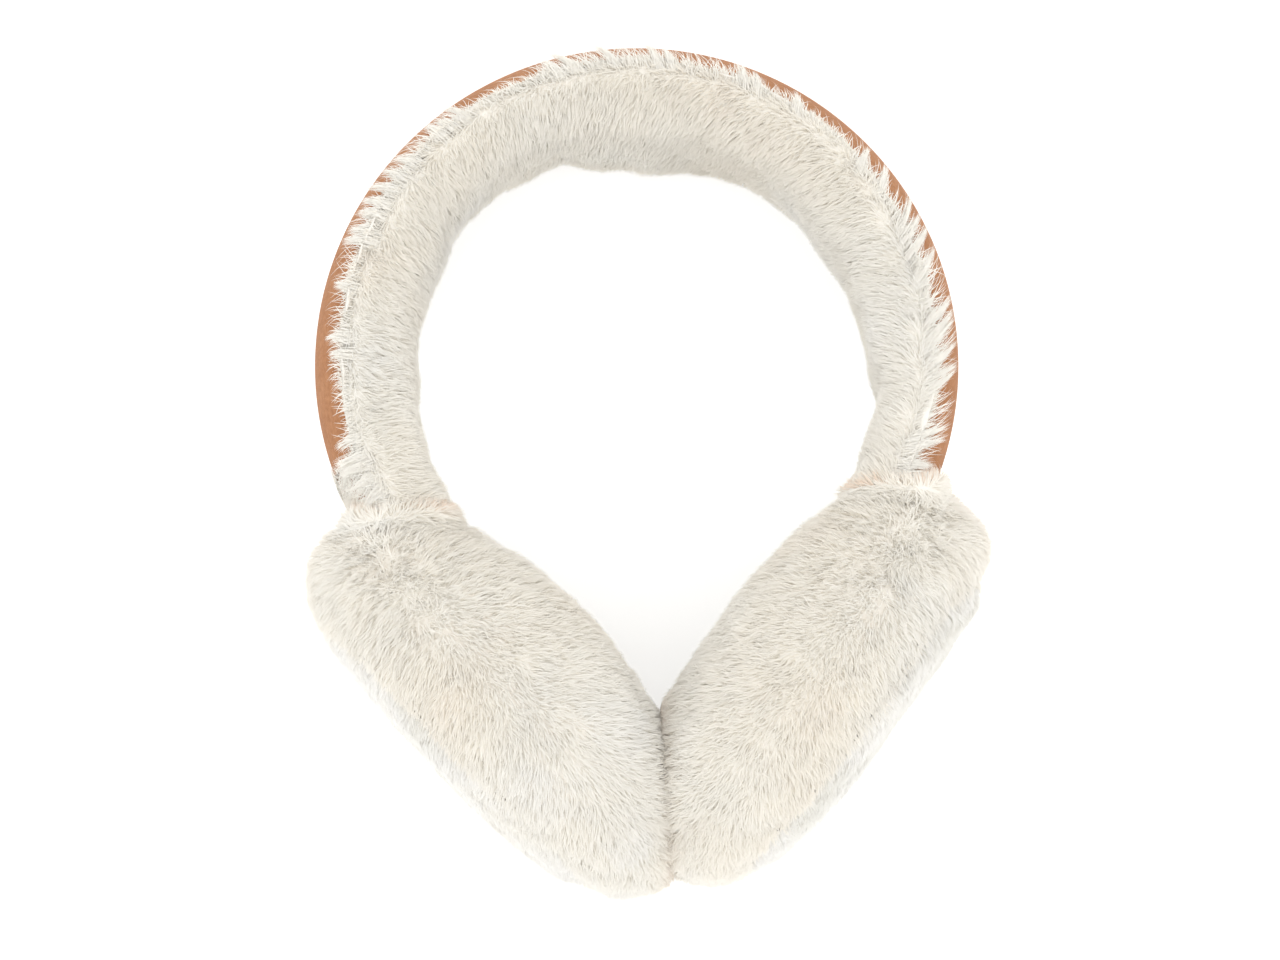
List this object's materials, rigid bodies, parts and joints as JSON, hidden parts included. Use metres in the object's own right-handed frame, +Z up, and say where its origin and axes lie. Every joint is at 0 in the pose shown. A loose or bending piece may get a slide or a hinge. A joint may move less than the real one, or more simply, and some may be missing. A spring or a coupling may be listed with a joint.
{
  "type": "fur earmuffs",
  "caption": "Sheepskin earmuffs: a round band of suede lined with deep cream fleece, ending in two thick oval fleece ear pads that lean together.",
  "frame": {"origin": "middle of the footprint, on the surface that the earmuffs lie on", "axes": "+Y towards the crown of the band, +X from the left pad to the right one as seen from above, +Z up from the surface"},
  "size_m": [0.1558, 0.1918, 0.0848],
  "materials": {
    "suede": "tan suede with a short nap, matt",
    "band_fleece": "deep cream sheepskin pile with curling edge locks",
    "pad_fleece": "deep cream sheepskin pile, brushed soft"
  },
  "bodies": {
    "root": {"suede_band": "suede", "band_fleece": "band_fleece", "left_pad_cushion": "pad_fleece", "left_pad_outer_panel": "pad_fleece", "right_pad_cushion": "pad_fleece", "right_pad_outer_panel": "pad_fleece"}
  },
  "joints": []
}
